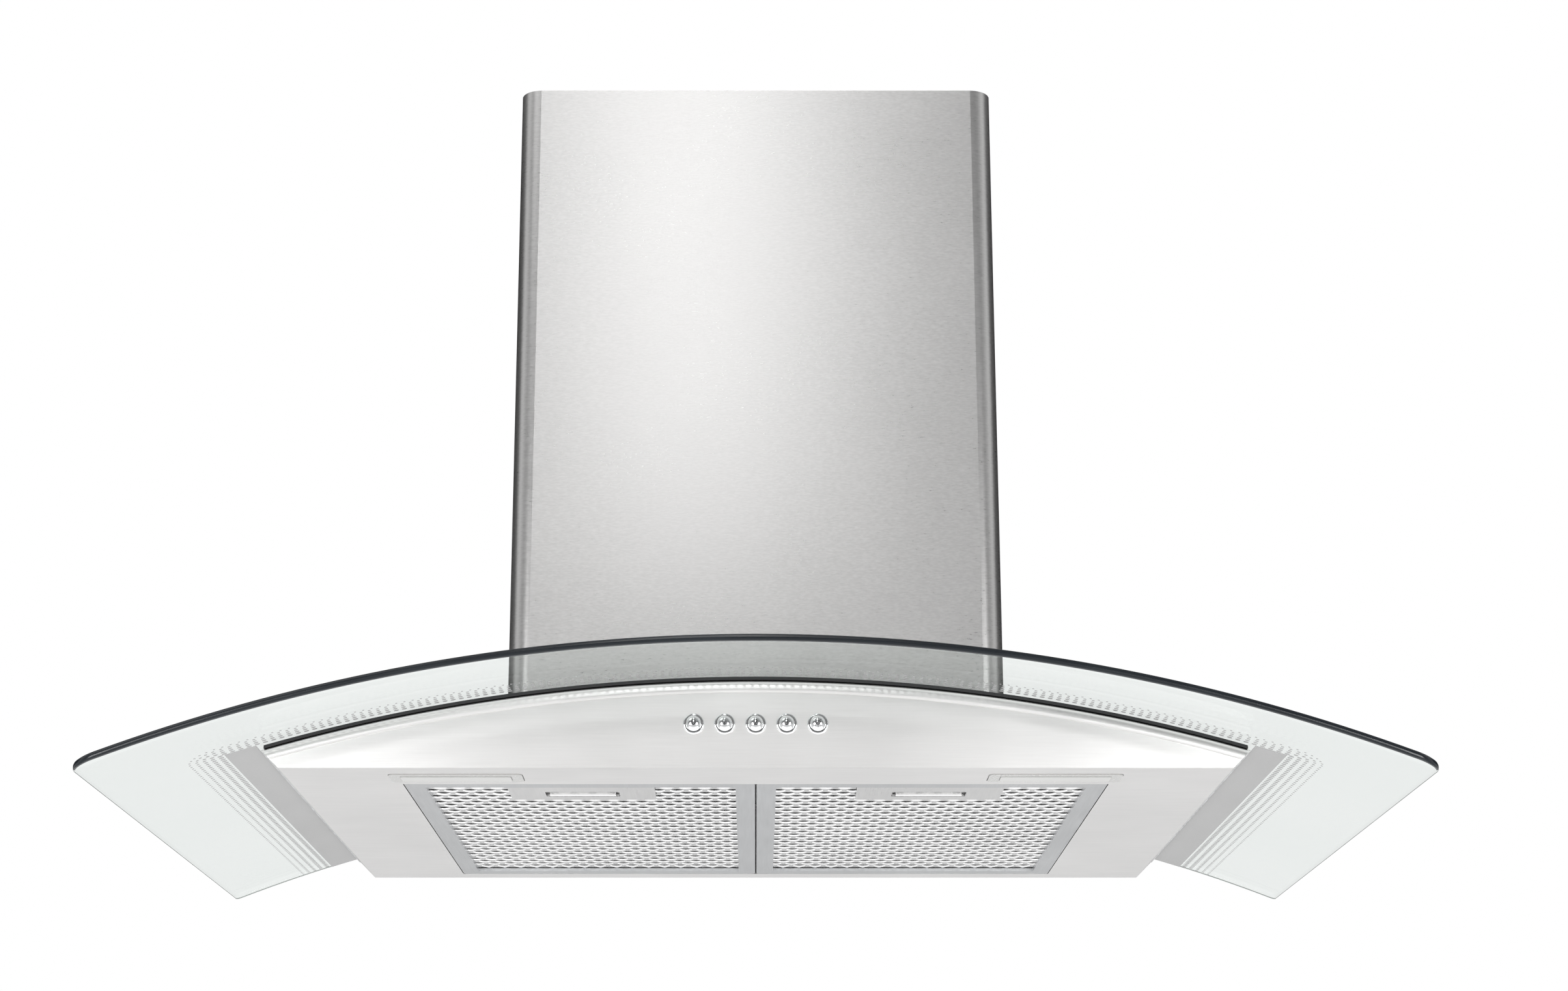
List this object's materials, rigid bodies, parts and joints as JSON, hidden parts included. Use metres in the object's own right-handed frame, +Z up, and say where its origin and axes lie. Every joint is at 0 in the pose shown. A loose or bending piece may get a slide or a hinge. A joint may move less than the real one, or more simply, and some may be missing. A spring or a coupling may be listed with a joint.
{
  "type": "island range hood",
  "caption": "Ceiling-hung range hood with an arched glass canopy, mesh grease filters, push buttons, lamps, a blower and a telescopic chimney.",
  "frame": {"origin": "centre of the ceiling plate's top face, where it meets the ceiling; the hood hangs below it", "axes": "+Z up out of the plate, +X to the right of a person who faces the buttons, +Y away from that person"},
  "size_m": [0.9, 0.604, 0.5805],
  "materials": {
    "chimney_steel": "fine short horizontal grain, satin",
    "body_steel": "light satin",
    "latch_steel": "bright satin, pressed",
    "canopy_glass": "clear tempered, polished dark green edge, grey printed band and dots",
    "chrome": "mirror plated",
    "zinc_steel": "galvanised, faint spangle",
    "fastener_steel": "zinc plated",
    "filter_aluminium": "expanded mesh, bright",
    "frame_aluminium": "satin",
    "damper_aluminium": "mill finish",
    "black_rubber": "matt",
    "black_plastic": "moulded, fine grain",
    "blower_plastic": "moulded, fine grain",
    "wheel_plastic": "moulded",
    "motor_paint": "semi-gloss",
    "white_plastic": "moulded",
    "lamp_frame_plastic": "satin moulded",
    "frosted_glass": "frosted",
    "circuit_board": "solder mask"
  },
  "bodies": {
    "ceiling": {"ceiling_plate": "zinc_steel", "upper_chimney": "chimney_steel", "upper_chimney_screws": "fastener_steel", "upper_posts": "zinc_steel"},
    "button_off": {"button_off": "chrome"},
    "button_low": {"button_low": "chrome"},
    "button_medium": {"button_medium": "chrome"},
    "button_high": {"button_high": "chrome"},
    "button_light": {"button_light": "chrome"},
    "filter_left": {"filter_frame_left": "frame_aluminium", "filter_mesh_left": "filter_aluminium", "latch_plate_left": "latch_steel", "latch_spring_left": "fastener_steel"},
    "filter_right": {"filter_frame_right": "frame_aluminium", "filter_mesh_right": "filter_aluminium", "latch_plate_right": "latch_steel", "latch_spring_right": "fastener_steel"},
    "latch_left": {"latch_slide_left": "latch_steel"},
    "latch_right": {"latch_slide_right": "latch_steel"},
    "fan_wheel": {"impeller": "wheel_plastic", "motor_shaft": "fastener_steel"},
    "damper_front": {"damper_flap_front": "damper_aluminium"},
    "damper_rear": {"damper_flap_rear": "damper_aluminium"},
    "hood": {"chimney_front": "chimney_steel", "chimney_rear": "chimney_steel", "hood_shell": "body_steel", "control_panel": "body_steel", "glass_canopy": "canopy_glass", "button_bezels": "chrome", "top_panel": "zinc_steel", "base_plate": "zinc_steel", "throat_duct": "zinc_steel", "blower_box": "zinc_steel", "lower_posts": "zinc_steel", "motor_bracket": "zinc_steel", "lamp_housings": "zinc_steel", "switch_bracket": "zinc_steel", "terminal_box": "zinc_steel", "terminal_cover": "zinc_steel", "mounting_studs": "fastener_steel", "clamp_bolts": "fastener_steel", "motor_screws": "fastener_steel", "chimney_screws": "fastener_steel", "stud_spacers": "fastener_steel", "damper_pin": "fastener_steel", "glass_gasket": "black_rubber", "stud_grommets": "black_rubber", "motor_bushes": "black_rubber", "switch_block": "black_plastic", "outlet_collar": "black_plastic", "scroll_left": "blower_plastic", "scroll_right": "blower_plastic", "inlet_ring_left": "blower_plastic", "inlet_ring_right": "blower_plastic", "motor": "motor_paint", "terminal_strip": "white_plastic", "capacitor": "white_plastic", "lamp_covers": "lamp_frame_plastic", "lamp_lenses": "frosted_glass", "lamp_boards": "circuit_board"}
  },
  "joints": [
    {"name": "height_slide", "type": "slide", "parent": "ceiling", "child": "hood", "axis": [0, 0, -1], "range_m": [0, 0.3]},
    {"name": "off_press", "type": "slide", "parent": "hood", "child": "button_off", "axis": [0, 1, 0], "range_m": [0, 0.0025], "stiffness_N_per_m": 600, "springref_m": -0.002},
    {"name": "low_press", "type": "slide", "parent": "hood", "child": "button_low", "axis": [0, 1, 0], "range_m": [0, 0.0025], "stiffness_N_per_m": 600, "springref_m": -0.002},
    {"name": "medium_press", "type": "slide", "parent": "hood", "child": "button_medium", "axis": [0, 1, 0], "range_m": [0, 0.0025], "stiffness_N_per_m": 600, "springref_m": -0.002},
    {"name": "high_press", "type": "slide", "parent": "hood", "child": "button_high", "axis": [0, 1, 0], "range_m": [0, 0.0025], "stiffness_N_per_m": 600, "springref_m": -0.002},
    {"name": "light_press", "type": "slide", "parent": "hood", "child": "button_light", "axis": [0, 1, 0], "range_m": [0, 0.0025], "stiffness_N_per_m": 600, "springref_m": -0.002},
    {"name": "filter_left_drop", "type": "hinge", "parent": "hood", "child": "filter_left", "pos_m": [-0.126, 0.227, -0.5592], "axis": [1, 0, 0], "range_deg": [0, 80]},
    {"name": "latch_left_pull", "type": "slide", "parent": "filter_left", "child": "latch_left", "axis": [0, 1, 0], "range_m": [0, 0.006], "stiffness_N_per_m": 400, "springref_m": -0.003, "deforming": ["latch_spring_left"]},
    {"name": "filter_right_drop", "type": "hinge", "parent": "hood", "child": "filter_right", "pos_m": [0.126, 0.227, -0.5592], "axis": [1, 0, 0], "range_deg": [0, 80]},
    {"name": "latch_right_pull", "type": "slide", "parent": "filter_right", "child": "latch_right", "axis": [0, 1, 0], "range_m": [0, 0.006], "stiffness_N_per_m": 400, "springref_m": -0.003, "deforming": ["latch_spring_right"]},
    {"name": "fan_spin", "type": "hinge", "parent": "hood", "child": "fan_wheel", "pos_m": [0, 0.006, -0.3695], "axis": [1, 0, 0], "continuous": true},
    {"name": "damper_front_swing", "type": "hinge", "parent": "hood", "child": "damper_front", "pos_m": [0, 0, -0.2075], "axis": [-1, 0, 0], "range_deg": [0, 78]},
    {"name": "damper_rear_swing", "type": "hinge", "parent": "hood", "child": "damper_rear", "pos_m": [0, 0, -0.2075], "axis": [1, 0, 0], "range_deg": [0, 78]}
  ]
}
